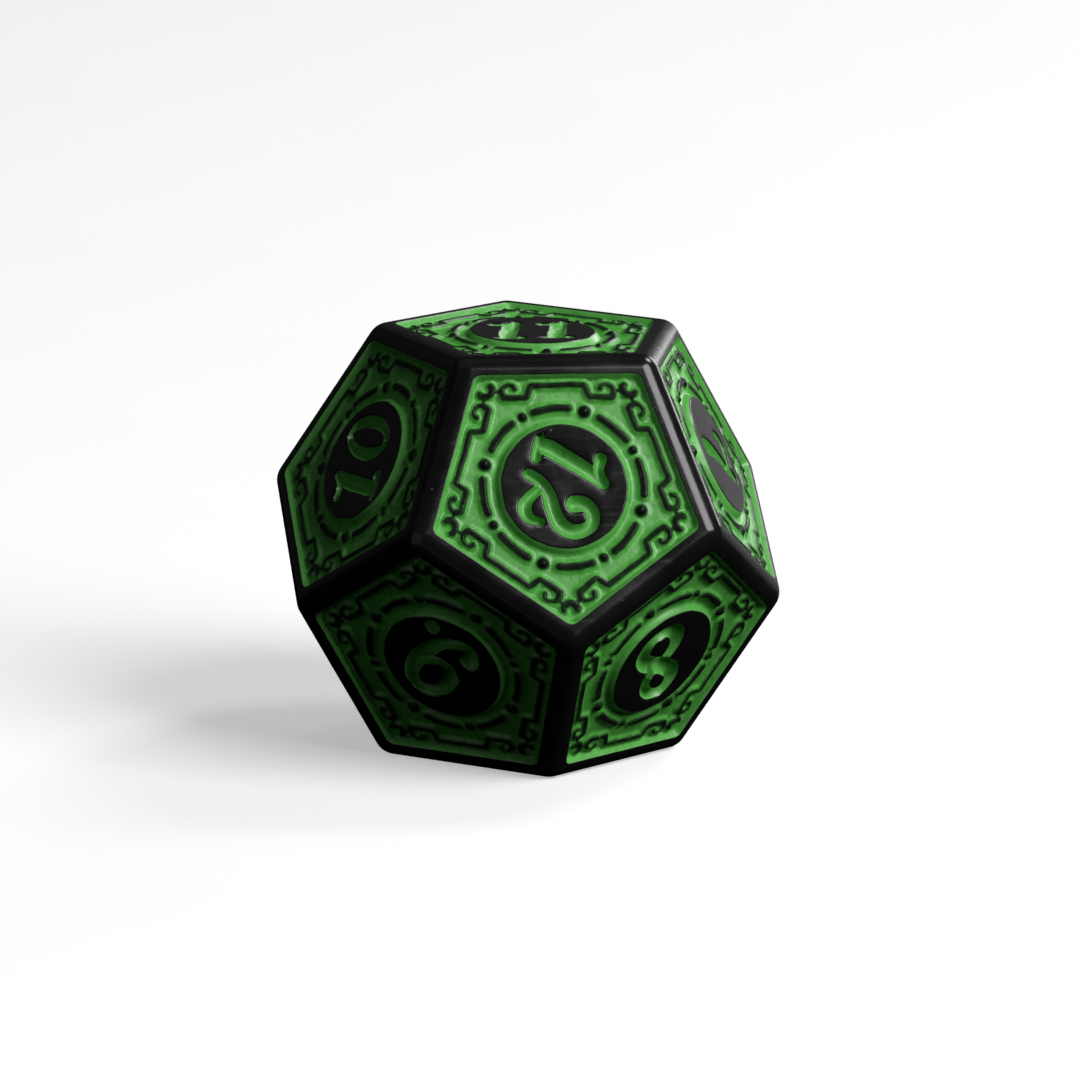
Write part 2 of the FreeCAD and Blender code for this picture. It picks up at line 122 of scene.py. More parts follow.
DIGITS = {
    "0": (slanted_oval(),),
    "1": (
        ((0.62, 1.64, 0.26), (0.27, 0.83, 0.36), (0.04, -0.07, 0.39), (-0.20, -1.00, 0.40),
         (-0.27, -1.45, 0.36)),
        ((-0.43, 1.26, 0.28), (0.08, 1.28, 0.24), (0.50, 1.52, 0.25)),
        ((-0.98, -1.66, 0.15), (-0.45, -1.60, 0.21), (0.34, -1.55, 0.26)),
    ),
    "2": (
        ((-0.33, 0.67, 0.41), (-0.43, 1.10, 0.35), (-0.18, 1.48, 0.32), (0.28, 1.60, 0.31),
         (0.68, 1.37, 0.33), (0.93, 0.83, 0.36), (0.75, 0.23, 0.37), (0.15, -0.23, 0.33),
         (-0.45, -0.60, 0.31), (-0.85, -1.10, 0.28), (-1.03, -1.66, 0.25)),
        ((-0.66, -0.92, 0.24), (-0.05, -1.33, 0.27), (0.38, -1.46, 0.33), (0.78, -1.26, 0.28),
         (0.93, -0.90, 0.21), (0.90, -0.57, 0.18)),
    ),
    "3": (
        ((-0.62, 1.02, 0.36), (-0.54, 1.42, 0.26), (-0.10, 1.66, 0.26), (0.46, 1.56, 0.29),
         (0.72, 1.08, 0.32), (0.46, 0.52, 0.27), (-0.04, 0.24, 0.20)),
        ((-0.04, 0.24, 0.20), (0.46, 0.06, 0.29), (0.72, -0.48, 0.37), (0.52, -1.16, 0.34),
         (0.00, -1.58, 0.27), (-0.56, -1.54, 0.25), (-0.84, -1.12, 0.36)),
    ),
    "4": (
        ((0.52, 1.64, 0.24), (-0.30, 0.62, 0.20), (-1.06, -0.56, 0.22), (-0.10, -0.62, 0.22),
         (1.06, -0.58, 0.24)),
        ((0.58, 1.62, 0.26), (0.32, 0.40, 0.34), (0.06, -0.66, 0.36), (-0.06, -1.40, 0.34)),
        ((-0.60, -1.64, 0.17), (-0.06, -1.60, 0.22), (0.46, -1.60, 0.22)),
    ),
    "5": (
        ((-0.30, 1.40, 0.26), (0.34, 1.46, 0.27), (0.98, 1.68, 0.19)),
        ((-0.30, 1.44, 0.24), (-0.46, 0.90, 0.20), (-0.60, 0.34, 0.20)),
        ((-0.60, 0.34, 0.18), (-0.12, 0.52, 0.24), (0.42, 0.38, 0.31), (0.72, -0.18, 0.38),
         (0.56, -1.00, 0.35), (0.02, -1.54, 0.27), (-0.56, -1.54, 0.24), (-0.86, -1.12, 0.35)),
    ),
    "6": tuple(tuple((-x, -y, r) for x, y, r in chain) for chain in NINE),
    "7": (
        ((-0.98, 0.86, 0.18), (-0.86, 1.32, 0.24), (-0.46, 1.56, 0.28), (0.06, 1.38, 0.27),
         (0.52, 1.26, 0.22), (0.92, 1.64, 0.19)),
        ((0.88, 1.50, 0.20), (0.52, 0.76, 0.26), (0.10, 0.10, 0.32), (-0.20, -0.62, 0.38),
         (-0.30, -1.42, 0.40)),
    ),
    "8": (
        ((0.83, 0.45, 0.26), (0.97, 0.96, 0.27), (0.81, 1.41, 0.28), (0.33, 1.65, 0.30),
         (-0.19, 1.45, 0.33), (-0.37, 0.98, 0.39), (-0.12, 0.43, 0.41), (0.31, -0.12, 0.41),
         (0.70, -0.61, 0.40), (0.72, -1.16, 0.38), (0.33, -1.59, 0.32), (-0.23, -1.67, 0.29),
         (-0.78, -1.43, 0.33), (-0.97, -0.94, 0.38), (-0.74, -0.45, 0.32), (-0.23, -0.12, 0.28),
         (0.31, 0.08, 0.27), (0.83, 0.45, 0.26)),
    ),
    "9": NINE,
}
PAIR_OFFSETS = {"10": (-1.20, 1.08), "11": (-1.12, 1.08), "12": (-1.25, 0.95)}
SINGLE_OFFSET = 0.06
SINGLE_SCALE = 1.14                           # a digit that stands alone is larger
POINT_MARK = ((1.36, -1.79, 0.38), (1.37, -1.81, 0.38))
MARKED = (6, 9)                               # the point tells these two apart


def smooth(balls, steps=5):
    """Catmull-Rom chain through the balls, with extra balls between them."""
    chain = np.array([balls[0]] + list(balls) + [balls[-1]])
    result = []
    for p0, p1, p2, p3 in zip(chain, chain[1:], chain[2:], chain[3:]):
        for step in range(steps):
            u = step / steps
            bend = (p2 - p0) * u + (2 * p0 - 5 * p1 + 4 * p2 - p3) * u ** 2
            bend += (3 * p1 - p0 - 3 * p2 + p3) * u ** 3
            result.append(p1 + 0.5 * bend)
    result.append(chain[-1])
    return np.array(result)


def numeral_chains(number):
    """All strokes of a face's number, as chains of balls in the flat frame."""
    text = str(number)
    if text in PAIR_OFFSETS:
        placed = [(digit, offset, 1.0) for digit, offset in zip(text, PAIR_OFFSETS[text])]
    else:
        placed = [(text, SINGLE_OFFSET, SINGLE_SCALE)]
    chains = []
    for digit, offset, scale in placed:
        for balls in DIGITS[digit]:
            chains.append(smooth(balls) * scale + np.array((offset, 0.0, 0.0)))
    if number in MARKED:
        chains.append(np.array(POINT_MARK))
    return chains


def is_point(balls):
    """True for the point mark, the only chain that isn't smoothed and so has just two balls."""
    return len(balls) == len(POINT_MARK)


# ---------------------------------------------------------------- distances in the flat frame

FAR = 1e3


def chain_gap(x, y, balls):
    """Signed distance to a chain of balls, and distance over radius at the nearest stroke."""
    gap = np.full(x.shape, FAR)
    share = np.full(x.shape, FAR)
    for (ax, ay, ar), (bx, by, br) in zip(balls, balls[1:]):
        dx, dy = bx - ax, by - ay
        t = np.clip(((x - ax) * dx + (y - ay) * dy) / (dx * dx + dy * dy), 0.0, 1.0)
        away = np.hypot(x - ax - t * dx, y - ay - t * dy)
        radius = ar + (br - ar) * t
        gap = np.minimum(gap, away - radius)
        share = np.minimum(share, away / radius)
    return gap, share


def folded(x, y, count):
    """Fold the plane into half a sector about the up direction, so one copy stands for all."""
    sector = 2.0 * math.pi / count
    angle = np.arctan2(x, y)
    angle = np.abs((angle + sector / 2.0) % sector - sector / 2.0)
    reach = np.hypot(x, y)
    return reach * np.sin(angle), reach * np.cos(angle), angle, reach


def pentagon_gap(x, y, apothem, corner=0.0):
    """Signed distance to a pentagon with a corner up, negative inside, its corners rounded if asked."""
    fx, fy, _, _ = folded(x, y, SIDES)
    half = TURN / 2.0
    across = fx * math.sin(half) + fy * math.cos(half) - apothem
    if not corner:
        return across
    along = fy * math.sin(half) - fx * math.cos(half)
    centre = (apothem - corner) * math.tan(half)
    past = np.hypot(np.maximum(along - centre, 0.0), np.maximum(across + corner, 0.0)) - corner
    return np.where(along > centre, np.maximum(past, across), across)


def meander_balls():
    """Half of the line along one side, in the folded frame, from the side's middle to its hook."""
    thin = RIDGE_WIDTH / 2.0
    m, outer, inner, reach = MEANDER_MIDDLE, MEANDER_OUTER, MEANDER_INNER, MEANDER_REACH
    half = (
        (-0.3, outer, thin), (m - 0.03, outer, thin), (m + 0.02, outer + 0.06, thin),
        (m + 0.17, inner - 0.06, thin), (m + 0.24, inner, thin),
        (reach - 0.10, inner, thin * 1.1), (reach, inner - 0.02, thin * 1.25),
        (reach + 0.07, inner - 0.12, thin * 1.25), (reach + 0.12, inner - 0.30, thin),
        (reach + 0.06, inner - 0.44, thin * 0.8), (reach - 0.06, inner - 0.54, thin * 0.65),
        (reach - 0.26, inner - 0.60, thin * 0.6), (reach - 0.42, inner - 0.55, thin * 0.75),
        (reach - 0.48, inner - 0.42, thin * 0.9),
    )
    turn = TURN / 2.0
    balls = []
    for along, inset, radius in half:
        out = PANEL_APOTHEM - inset
        x = out * math.sin(turn) - along * math.cos(turn)
        y = out * math.cos(turn) + along * math.sin(turn)
        balls.append((x, y, radius))
    return balls


MEANDER = meander_balls()
CRESCENT = (
    (-0.05, CRESCENT_RADIUS - 0.09, 0.13), (0.10, CRESCENT_RADIUS - 0.06, 0.13),
    (0.24, CRESCENT_RADIUS + 0.03, 0.135), (0.31, CRESCENT_RADIUS + 0.13, 0.13),
    (0.30, CRESCENT_RADIUS + 0.23, 0.115),
)
HOOK_OUTSIDE = MEANDER[8][:2]
NECK = (
    (0.24, CRESCENT_RADIUS - 0.02, 0.07), (0.44, CRESCENT_RADIUS - 0.18, 0.06),
    HOOK_OUTSIDE + (0.07,),
)


def dash_gap(angle, reach):
    """Signed distance to a curved dash of the ring, in the frame folded in four."""
    nearest = np.clip(angle, DASH_START, DASH_END)
    x = reach * np.sin(angle) - RING_RADIUS * np.sin(nearest)
    y = reach * np.cos(angle) - RING_RADIUS * np.cos(nearest)
    return np.hypot(x, y) - DASH_WIDTH / 2.0


LIP_SHAPE = 1.6                               # the larger, the rounder a ridge's upper edge
FOOT_SHAPE = 3                                # the larger, the softer its foot


def fall(gap, top, bottom, lip, width):
    """Height of a feature's top, rounded lip, sloped wall and foot, by distance from its outline."""
    t = np.clip((gap + lip) / (width + lip), 0.0, 1.0)
    return top + (bottom - top) * (1.0 - (1.0 - t ** LIP_SHAPE) ** FOOT_SHAPE)


def soft_max(a, b, blend):
    """Larger of two heights, with a fillet where they cross."""
    h = np.maximum(blend - np.abs(a - b), 0.0) / blend
    return np.maximum(a, b) + h * h * blend / 4.0


def ridge_features(x, y):
    """The ridges of a panel: (gap, top, lip, width, how far outside the outline the paint starts)."""
    fx, fy, _, _ = folded(x, y, SIDES)
    across, up, ring_angle, reach = folded(x, y, RING_FOLD)
    stud_angle = math.pi / RING_FOLD
    stud_x, stud_y = RING_RADIUS * math.sin(stud_angle), RING_RADIUS * math.cos(stud_angle)
    return (
        (chain_gap(fx, fy, MEANDER)[0], -0.15, 0.07, 0.36, 0.0),
        (chain_gap(fx, fy, CRESCENT)[0], -0.15, 0.07, 0.30, 0.0),
        (chain_gap(fx, fy, NECK)[0], -0.20, 0.07, 0.28, 0.0),
        (dash_gap(ring_angle, reach), -0.13, 0.08, 0.36, 0.0),
        (np.hypot(across, up - RING_RADIUS) - BEAD_RADIUS, -0.05, 0.26, 0.36, -0.02),
        (np.hypot(across - stud_x, up - stud_y) - STUD_RADIUS, -0.11, 0.18, 0.34, -0.01),
    )


VALLEY_FILLET = 0.06
MARGIN_START = 0.05                           # past the rim by this much, a face is flat


def panel_relief(x, y):
    """Height of the carved panel, and distance from the nearest ridge, rim or disc edge."""
    rim = -pentagon_gap(x, y, PANEL_APOTHEM, PANEL_CORNER)
    disc = np.hypot(x, y) - DISC_RADIUS
    edges = ((rim, 0.0, 0.02, 0.36, 0.005), (disc, 0.0, 0.05, 0.40, -0.02))
    height = np.full(x.shape, -PANEL_DEPTH)
    paint = np.full(x.shape, FAR)
    for gap, top, lip, width, start in edges + ridge_features(x, y):
        height = soft_max(height, fall(gap, top, -PANEL_DEPTH, lip, width), VALLEY_FILLET)
        paint = np.minimum(paint, gap - start)
    height = np.where(-rim > MARGIN_START, 0.0, np.minimum(height, 0.0))
    return height, paint


def ridge_gap(x, y):
    """Distance from the nearest ridge's outline, negative on the ridge."""
    gap = np.minimum.reduce([feature[0] for feature in ridge_features(x, y)])
    return np.clip(gap, -1.0, 1.0)


STROKE_RADIUS = 0.3                           # turns a share of a stroke's radius into a distance
STROKE_FILLET = 0.35                          # where strokes meet, as a share of their radius
LIP = 0.07                                    # rounded edge round an engraved stroke
LIP_DEPTH = 0.03
BOWL_SHAPE = 2.4                              # 2 is a round groove, more has a flatter floor
POINT_DEPTH = 0.3                             # the point is shallow: this share of a stroke's depth
POINT_REACH = 1.3                             # and it's shallow out to this share of its radius
SEAM_FADE = 0.05                              # a stroke runs out this far inside the seam
SEAM_CLEAR = 0.02                             # and its paint stops this far inside it
PAINT_INSET = 0.004


def numeral_relief(x, y, chains):
    """Height of the disc with its engraved numeral, and distance inwards from the groove's edge."""
    share = np.full(x.shape, FAR)
    filled = np.ones(x.shape)
    for balls in chains:
        near = chain_gap(x, y, balls)[1]
        share = -soft_max(-share, -near, STROKE_FILLET)
        if is_point(balls):
            filled = np.where(near < POINT_REACH, POINT_DEPTH, 1.0)
    inside = (1.0 - share) * STROKE_RADIUS
    edge = np.clip(1.0 + inside / LIP, 0.0, 1.0)
    bowl = (NUMERAL_DEPTH - LIP_DEPTH) * (1.0 - np.clip(share, 0.0, 1.0) ** BOWL_SHAPE)
    room = SEAM_RADIUS - np.hypot(x, y)
    height = (-LIP_DEPTH * edge ** 2 - bowl * filled) * np.clip(room / SEAM_FADE, 0.0, 1.0)
    return height, np.minimum(inside - PAINT_INSET, room - SEAM_CLEAR)


# ---------------------------------------------------------------- contours and flat meshes

GRID_STEP = 0.04
FEWEST_POINTS = 8                             # on a closed loop
PULL_STEP = 0.004                             # over which a field's slope is measured
PULL_LIMIT = 0.02                             # and the farthest that one pull moves a point
JITTER = 0.08                                 # nudge of loose points, as a share of their spacing
TINY_AREA = 1e-9


def grid_over(reach):
    """Grid of points over a square, from -reach to reach both ways."""
    count = int(2.0 * reach / GRID_STEP) + 1
    line = np.linspace(-reach, reach, count)
    return np.meshgrid(line, line)


def trace_level(gx, gy, values, level):
    """Ordered closed loops of points where the grid's values cross a level."""
    above = values > level
    columns = values.shape[1]
    cells = above[:-1, :-1].astype(int) + above[:-1, 1:] + above[1:, 1:] + above[1:, :-1]
    links = {}
    points = {}

    def crossing(i0, j0, i1, j1):
        key = (i0 * columns + j0) * 2 + (1 if i1 > i0 else 0)
        if key not in points:
            t = (level - values[i0, j0]) / (values[i1, j1] - values[i0, j0])
            x = gx[i0, j0] + (gx[i1, j1] - gx[i0, j0]) * t
            y = gy[i0, j0] + (gy[i1, j1] - gy[i0, j0]) * t
            points[key] = (x, y)
            links[key] = []
        return key

    for i, j in zip(*np.nonzero((cells > 0) & (cells < 4))):
        sides = (
            (i, j, i, j + 1), (i, j + 1, i + 1, j + 1),
            (i + 1, j, i + 1, j + 1), (i, j, i + 1, j),
        )
        keys = [crossing(*c) for c in sides if above[c[0], c[1]] != above[c[2], c[3]]]
        for a, b in zip(keys[0::2], keys[1::2]):
            links[a].append(b)
            links[b].append(a)

    loops = []
    left = dict.fromkeys(points)
    while left:
        key = next(iter(left))
        loop = []
        while key in left:
            del left[key]
            loop.append(points[key])
            key = next((k for k in links[key] if k in left), None)
        if len(loop) > 3:
            loops.append(np.array(loop))
    return loops


def even_loop(loop, spacing):
    """The same closed loop with evenly spaced points."""
    closed = np.vstack((loop, loop[:1]))
    steps = np.hypot(*np.diff(closed, axis=0).T)
    length = np.concatenate(((0.0,), np.cumsum(steps)))
    count = max(FEWEST_POINTS, int(round(length[-1] / spacing)))
    marks = np.linspace(0.0, length[-1], count, endpoint=False)
    return np.stack([np.interp(marks, length, closed[:, k]) for k in range(2)], 1)


def steepness(field, x, y, step):
    """Slopes of a field along X and along Y."""
    sx = (field(x + step, y) - field(x - step, y)) / (2.0 * step)
    sy = (field(x, y + step) - field(x, y - step)) / (2.0 * step)
    return sx, sy


def pulled_to(loop, field, level):
    """Move points along the field's slope onto its level."""
    for _ in range(2):
        x, y = loop.T
        value = field(x, y)
        sx, sy = steepness(field, x, y, PULL_STEP)
        steep = np.maximum(sx * sx + sy * sy, 0.25)
        move = np.clip((level - value) / steep, -PULL_LIMIT, PULL_LIMIT)
        loop = loop + np.stack((sx * move, sy * move), 1)
    return loop


def rings(field, reach, levels):
    """Evenly spaced loops at several levels of a field: {level: spacing}."""
    gx, gy = grid_over(reach)
    values = field(gx, gy)
    loops = []
    for level, spacing in levels.items():
        for loop in trace_level(gx, gy, values, level):
            loops.append(pulled_to(even_loop(loop, spacing), field, level))
    return loops


def spread(reach, spacing, keep):
    """Points on a triangular grid where keep(x, y) is true, nudged so that no four are in line."""
    rows = np.arange(-reach, reach, spacing * math.sqrt(3.0) / 2.0)
    columns = np.arange(-reach, reach, spacing)
    x, y = np.meshgrid(columns, rows)
    x = x + (np.arange(len(rows))[:, None] % 2) * spacing / 2.0
    rng = np.random.default_rng(7)
    x = x + rng.uniform(-JITTER, JITTER, x.shape) * spacing
    y = y + rng.uniform(-JITTER, JITTER, y.shape) * spacing
    chosen = keep(x, y)
    return np.stack((x[chosen], y[chosen]), 1)


def flat_mesh(loops, loose, keep):
    """Triangles over loops and loose points, kept where keep(x, y) of their middles is true."""
    points = [tuple(p) for loop in loops for p in loop] + [tuple(p) for p in loose]
    edges = []
    start = 0
    for loop in loops:
        count = len(loop)
        edges += [(start + k, start + (k + 1) % count) for k in range(count)]
        start += count
    made = delaunay_2d_cdt([Vector(p) for p in points], edges, [], 0, 1e-5)
    spots = np.array([tuple(v) for v in made[0]])
    triangles = np.array([f for f in made[2] if len(f) == 3])
    middles = spots[triangles].mean(1)
    triangles = triangles[keep(middles[:, 0], middles[:, 1])]
    a, b, c = (spots[triangles[:, k]] for k in range(3))
    turning = (b[:, 0] - a[:, 0]) * (c[:, 1] - a[:, 1]) - (b[:, 1] - a[:, 1]) * (c[:, 0] - a[:, 0])
    sound = np.abs(turning) > TINY_AREA
    triangles = triangles[sound]
    turning = turning[sound]
    triangles[turning < 0] = triangles[turning < 0][:, ::-1]
    used, inverse = np.unique(triangles, return_inverse=True)
    return spots[used], inverse.reshape(-1, 3)


def border_edges(triangles):
    """Directed edges that only one triangle uses."""
    directed = {}
    for a, b, c in triangles:
        for edge in ((a, b), (b, c), (c, a)):
            directed[edge] = True
    return [edge for edge in directed if (edge[1], edge[0]) not in directed]


def upward_normals(height, x, y):
    """Unit normals of a height function, measured over a short step so that edges look soft."""
    sx, sy = steepness(height, x, y, 0.015)
    normals = np.stack((-sx, -sy, np.ones(x.shape)), 1)
    return normals / np.linalg.norm(normals, axis=1)[:, None]


# ---------------------------------------------------------------- the twelve faces

UPPER_RING = (12, 7, 4, 5, 10)                # faces round face 11, by azimuth from -Y
OPPOSITE_SUM = 13
NUMBERS = range(1, OPPOSITE_SUM)
FOOT_FACE = {12: 10, 1: 3}                    # the numeral's foot points at this face
FOOT_FACE.update({number: 12 for number in range(7, 12)})
FOOT_FACE.update({number: 1 for number in range(2, 7)})


def face_normals():
    """Outward unit normal of each numbered face."""
    normals = {11: np.array((0.0, 0.0, 1.0))}
    for step, number in enumerate(UPPER_RING):
        azimuth = -math.pi / 2.0 + TURN * step
        flat = math.sin(TILT)
        normals[number] = np.array((flat * math.cos(azimuth), flat * math.sin(azimuth), math.cos(TILT)))
    for number in list(normals):
        normals[OPPOSITE_SUM - number] = -normals[number]
    return normals


NORMALS = face_normals()
CENTRE = np.array((0.0, 0.0, INRADIUS))


def face_axes(number):
    """Right, up and outward directions of a face, as the rows of a matrix."""
    normal = NORMALS[number]
    foot = NORMALS[FOOT_FACE[number]]
    up = normal * normal.dot(foot) - foot
    up = up / np.linalg.norm(up)
    return np.stack((np.cross(up, normal), up, normal))


WARP = 0.07                                   # how far hand-cut lines stray sideways
WARP_SCALES = ((0.55, 0.55), (1.6, 0.45))     # (waves per millimetre, share)
WARP_FADE = 0.5                               # the straying dies out over this width at a face's rim


def strayed(number, points):
    """Points of the flat frame moved sideways by smooth noise, a little differently on every face."""
    room = -pentagon_gap(points[:, 0], points[:, 1], FLAT_APOTHEM)
    fade = np.clip(room / WARP_FADE, 0.0, 1.0)
    result = points.copy()
    for axis in range(2):
        stray = np.zeros(len(points))
        for scale, share in WARP_SCALES:
            origin = Vector((number * 17.3, axis * 31.7, scale * 5.1))
            spots = [Vector((x, y, 0.0)) * scale + origin for x, y, _ in points]
            stray += share * np.array([noise.noise(spot) for spot in spots])
        result[:, axis] += stray * fade * WARP
    return result


def to_die(number, points):
    """Carry points of the flat frame to their place on the die, in millimetres."""
    return CENTRE + NORMALS[number] * INRADIUS + strayed(number, points) @ face_axes(number)


def turned(number, directions):
    """Directions of the flat frame, as directions of the die."""
    return directions @ face_axes(number)


# ---------------------------------------------------------------- mesh objects

def mesh_object(name, points, triangles, normals, material, layers=None):
    """Smooth-shaded object from points in millimetres, with its own normals and float layers."""
    mesh = bpy.data.meshes.new(name)
    mesh.from_pydata((points * MM).tolist(), [], triangles.tolist())
    mesh.validate()
    mesh.update()
    mesh.shade_smooth()
    mesh.normals_split_custom_set_from_vertices(normals.tolist())
    for layer, values in (layers or {}).items():
        attribute = mesh.attributes.new(layer, "FLOAT", "POINT")
        attribute.data.foreach_set("value", values.astype(np.float32))
    mesh.materials.append(material)
    piece = bpy.data.objects.new(name, mesh)
    bpy.context.scene.collection.objects.link(piece)
    return piece


# ---------------------------------------------------------------- black body

SIDE_STEPS = 24                               # points along a flat side, between two corners
ROUND_STEPS = 8                               # segments across a rounded edge
SEAM_STEPS = 120


def side_corner(k):
    """Corner k of the flat pentagon, clockwise from the top."""
    radius = FLAT_APOTHEM / math.cos(TURN / 2.0)
    return np.array((radius * math.sin(TURN * k), radius * math.cos(TURN * k)))


def flat_rim():
    """Closed loop of evenly spaced points round a face's flat pentagon."""
    loop = []
    for k in range(SIDES):
        a, b = side_corner(k), side_corner(k + 1)
        loop += [a + (b - a) * step / SIDE_STEPS for step in range(SIDE_STEPS)]
    return np.array(loop)


def seam_circle():
    """Closed loop of points where the panel's mesh meets the disc's mesh."""
    turn = 2.0 * math.pi / SEAM_STEPS
    angles = [turn * k for k in range(SEAM_STEPS)]
    return np.array([(SEAM_RADIUS * math.sin(a), SEAM_RADIUS * math.cos(a)) for a in angles])


def panel_height(x, y):
    return panel_relief(x, y)[0]


def panel_paint(x, y):
    return panel_relief(x, y)[1]


def wide_field(x, y):
    """Room round a point of the panel, from the nearest ring of mesh points."""
    paint = panel_paint(x, y)
    room = np.minimum(-pentagon_gap(x, y, FLAT_APOTHEM), np.hypot(x, y) - SEAM_RADIUS)
    return np.minimum(room, np.maximum(paint - 0.20, -0.12 - paint))


def body_panel_mesh():
    """Carved part of a face, from the seam circle out to the flat pentagon's rim."""
    levels = {-0.12: 0.12, -0.08: 0.10, -0.04: 0.10, 0.0: 0.085, 0.08: 0.10, 0.20: 0.15}
    loops = rings(panel_paint, PANEL_REACH, levels)
    loops += [flat_rim(), seam_circle()]
    loose = spread(PANEL_REACH, 0.35, lambda x, y: wide_field(x, y) > 0.1)

    def keep(x, y):
        return (np.hypot(x, y) > SEAM_RADIUS * 0.9997) & (pentagon_gap(x, y, FLAT_APOTHEM) < 1e-4)

    return flat_mesh(loops, loose, keep)


def disc_mesh(chains, levels, inner_spacing, outer_spacing=None):
    """Numeral's mesh: rings round the strokes and loose points, out to the seam circle if asked."""
    def paint(x, y):
        return numeral_relief(x, y, chains)[1]

    loops = rings(paint, DISC_REACH, levels)
    top = max(levels)
    bottom = min(levels)

    loose = spread(DISC_REACH, inner_spacing, lambda x, y: paint(x, y) > top + inner_spacing * 0.35)
    if outer_spacing is None:
        return flat_mesh(loops, loose, lambda x, y: paint(x, y) > 0.0)

    def away(x, y):
        return (paint(x, y) < bottom - outer_spacing * 0.4) & (np.hypot(x, y) < SEAM_RADIUS - 0.15)

    loose = np.concatenate((loose, spread(DISC_REACH, outer_spacing, away)))
    loops.append(seam_circle())
    return flat_mesh(loops, loose, lambda x, y: np.hypot(x, y) < SEAM_RADIUS * 0.9999)


def sphere_mix(a, b, share):
    """Direction between two unit vectors, along the great circle."""
    angle = math.acos(float(np.clip(a.dot(b), -1.0, 1.0)))
    if angle < 1e-9:
        return a
    return (a * math.sin((1.0 - share) * angle) + b * math.sin(share * angle)) / math.sin(angle)


def rounded_corner(centre, a, b, c):
    """Patch of a ball between three face normals: points, triangles and normals."""
    rows = []
    for i in range(ROUND_STEPS + 1):
        left = sphere_mix(a, b, i / ROUND_STEPS)
        right = sphere_mix(a, c, i / ROUND_STEPS)
        rows.append([sphere_mix(left, right, j / max(i, 1)) for j in range(i + 1)])
    normals = np.array([n for row in rows for n in row])
    first = [i * (i + 1) // 2 for i in range(ROUND_STEPS + 1)]
    triangles = []
    for i in range(ROUND_STEPS):
        for j in range(i + 1):
            triangles.append((first[i] + j, first[i + 1] + j, first[i + 1] + j + 1))
            if j < i:
                triangles.append((first[i] + j, first[i + 1] + j + 1, first[i] + j + 1))
    return centre + normals * EDGE_ROUNDING, outward(triangles, normals), normals


def rounded_edge(start, end, a, b):
    """Strip of a cylinder between two face normals."""
    normals = []
    points = []
    for i in range(ROUND_STEPS + 1):
        normal = sphere_mix(a, b, i / ROUND_STEPS)
        for k in range(SIDE_STEPS + 1):
            normals.append(normal)
            points.append(start + (end - start) * k / SIDE_STEPS + normal * EDGE_ROUNDING)
    row = SIDE_STEPS + 1
    triangles = []
    for i in range(ROUND_STEPS):
        for k in range(SIDE_STEPS):
            p = i * row + k
            triangles += [(p, p + 1, p + row + 1), (p, p + row + 1, p + row)]
    return np.array(points), outward(triangles, np.array(normals), np.array(points)), np.array(normals)


def outward(triangles, normals, points=None):
    """The same triangles, all turned to the side their normals point to."""
    points = normals if points is None else points
    triangles = np.array(triangles)
    a, b, c = (points[triangles[:, k]] for k in range(3))
    facing = np.einsum("ij,ij->i", np.cross(b - a, c - a), normals[triangles[:, 0]])
    triangles[facing < 0] = triangles[facing < 0][:, ::-1]
    return triangles


def neighbours():
    """Pairs of faces that share an edge, and triples that meet at a corner of the die."""
    near = math.cos(TILT) - 1e-6
    ordered = [(a, b) for a in NUMBERS for b in NUMBERS if a < b]
    pairs = [(a, b) for a, b in ordered if NORMALS[a].dot(NORMALS[b]) > near]
    triples = []
    for a, b in pairs:
        triples += [(a, b, c) for c in NUMBERS if b < c and (a, c) in pairs and (b, c) in pairs]
    return pairs, triples


def inner_corner(triple):
    """Centre of the ball that rounds a corner."""
    rows = np.stack([NORMALS[n] for n in triple])
    return CENTRE + np.linalg.solve(rows, np.full(3, INRADIUS - EDGE_ROUNDING))


CELLS_PER_MM = 1000.0                         # points in the same cell are merged
CELL_SHIFT = 0.2371                           # keeps exact sizes away from the cells' borders


def welded(parts):
    """One mesh from several (points, triangles, normals, ridge distances), with shared points merged."""
    points, normals, ridge = (np.concatenate([part[k] for part in parts]) for k in (0, 2, 3))
    offset = 0
    triangles = []
    for part in parts:
        triangles.append(part[1] + offset)
        offset += len(part[0])
    triangles = np.concatenate(triangles)
    cells = np.floor(points * CELLS_PER_MM + CELL_SHIFT).astype(np.int64)
    _, first, inverse = np.unique(cells, axis=0, return_index=True, return_inverse=True)
    triangles = inverse.reshape(-1)[triangles]
    distinct = (triangles[:, 0] != triangles[:, 1]) & (triangles[:, 1] != triangles[:, 2])
    distinct &= triangles[:, 0] != triangles[:, 2]
    return points[first], triangles[distinct], normals[first], ridge[first]


SINK_SLOPE = 1.2
SINK_LIMIT = 0.12


def sunk(height, paint):
    """Body under the paint, kept clear below it."""
    return height - np.clip(SINK_SLOPE * paint, 0.0, SINK_LIMIT)


